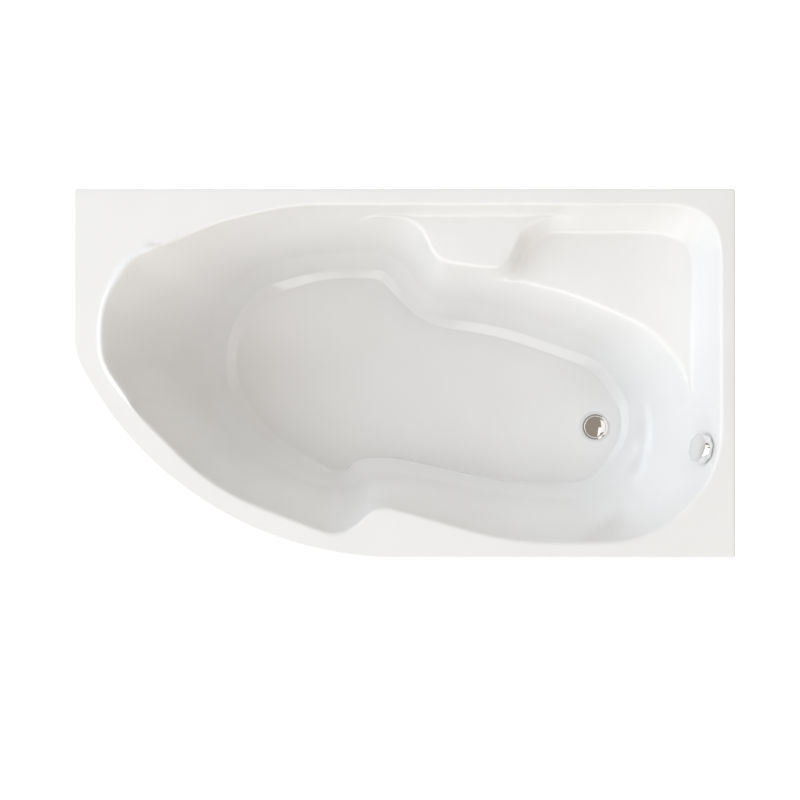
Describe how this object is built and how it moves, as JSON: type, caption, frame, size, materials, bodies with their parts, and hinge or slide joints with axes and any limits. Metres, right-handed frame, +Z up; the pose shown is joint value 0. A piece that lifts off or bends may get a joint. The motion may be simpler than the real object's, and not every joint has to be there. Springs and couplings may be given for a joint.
{
  "type": "bathtub",
  "caption": "Corner-cut acrylic bath with a stepped asymmetric bowl, armrest shelf, seat, headrest, round overflow knob and pop-up waste, on a steel frame with levelling feet.",
  "frame": {"origin": "on the floor under the centre of the rim's outline box", "axes": "+X from the head end to the waste end, +Y to the long wall side, +Z up"},
  "size_m": [1.7, 0.95, 0.6],
  "materials": {
    "acrylic": "high gloss",
    "board": "pressed chips",
    "frame_steel": "powder coat",
    "zinc_steel": "zinc plated",
    "foot_plastic": "matte",
    "chrome": "polished",
    "rubber": "matte",
    "waste_plastic": "satin",
    "pipe_plastic": "satin",
    "cable_plastic": "satin"
  },
  "bodies": {
    "bath": {"base_board": "board", "bath_shell": "acrylic", "board_screws": "zinc_steel", "control_cable": "cable_plastic", "cross_rail_end": "frame_steel", "cross_rail_foot": "frame_steel", "cross_rail_head": "frame_steel", "cross_rail_middle": "frame_steel", "drain_body": "waste_plastic", "drain_flange": "chrome", "drain_gasket_lower": "rubber", "drain_gasket_upper": "rubber", "foot_nuts_lower": "zinc_steel", "foot_nuts_upper": "zinc_steel", "long_rail_back": "frame_steel", "long_rail_front": "frame_steel", "overflow_cup": "waste_plastic", "overflow_gasket": "rubber", "overflow_pipe": "pipe_plastic", "overflow_plate": "chrome", "pipe_nut_bottom": "waste_plastic", "pipe_nut_top": "waste_plastic", "post_head_back": "frame_steel", "post_head_end": "frame_steel", "post_middle_back": "frame_steel", "post_middle_front": "frame_steel", "post_pad_head_back": "foot_plastic", "post_pad_head_end": "foot_plastic", "post_pad_middle_back": "foot_plastic", "post_pad_middle_front": "foot_plastic", "post_pad_waste_back": "foot_plastic", "post_pad_waste_front": "foot_plastic", "post_waste_back": "frame_steel", "post_waste_front": "frame_steel", "trap_cup": "waste_plastic", "trap_nut": "waste_plastic", "trap_outlet_nut": "waste_plastic", "trap_outlet_pipe": "waste_plastic"},
    "knob": {"overflow_knob": "chrome", "knob_spindle": "zinc_steel"},
    "plug": {"drain_plug": "chrome", "plug_seal": "rubber"},
    "foot_head_back": {"foot_stud_head_back": "zinc_steel", "foot_pad_head_back": "foot_plastic"},
    "foot_head_front": {"foot_stud_head_front": "zinc_steel", "foot_pad_head_front": "foot_plastic"},
    "foot_middle_back": {"foot_stud_middle_back": "zinc_steel", "foot_pad_middle_back": "foot_plastic"},
    "foot_middle_front": {"foot_stud_middle_front": "zinc_steel", "foot_pad_middle_front": "foot_plastic"},
    "foot_waste_back": {"foot_stud_waste_back": "zinc_steel", "foot_pad_waste_back": "foot_plastic"},
    "foot_waste_front": {"foot_stud_waste_front": "zinc_steel", "foot_pad_waste_front": "foot_plastic"}
  },
  "joints": [
    {"name": "knob_turn", "type": "hinge", "parent": "bath", "child": "knob", "pos_m": [0.7851, -0.19775, 0.54492], "axis": [-0.8977, 0.195, 0.395], "range_deg": [0, 90]},
    {"name": "plug_lift", "type": "slide", "parent": "bath", "child": "plug", "axis": [0, 0, 1], "range_m": [0, 0.01]},
    {"name": "foot_head_back_level", "type": "slide", "parent": "bath", "child": "foot_head_back", "axis": [0, 0, -1], "range_m": [0, 0.018]},
    {"name": "foot_head_front_level", "type": "slide", "parent": "bath", "child": "foot_head_front", "axis": [0, 0, -1], "range_m": [0, 0.018]},
    {"name": "foot_middle_back_level", "type": "slide", "parent": "bath", "child": "foot_middle_back", "axis": [0, 0, -1], "range_m": [0, 0.018]},
    {"name": "foot_middle_front_level", "type": "slide", "parent": "bath", "child": "foot_middle_front", "axis": [0, 0, -1], "range_m": [0, 0.018]},
    {"name": "foot_waste_back_level", "type": "slide", "parent": "bath", "child": "foot_waste_back", "axis": [0, 0, -1], "range_m": [0, 0.018]},
    {"name": "foot_waste_front_level", "type": "slide", "parent": "bath", "child": "foot_waste_front", "axis": [0, 0, -1], "range_m": [0, 0.018]}
  ],
  "couplings": [
    {"joint": "plug_lift", "follows": "knob_turn", "m_per_rad": 0.006366}
  ]
}
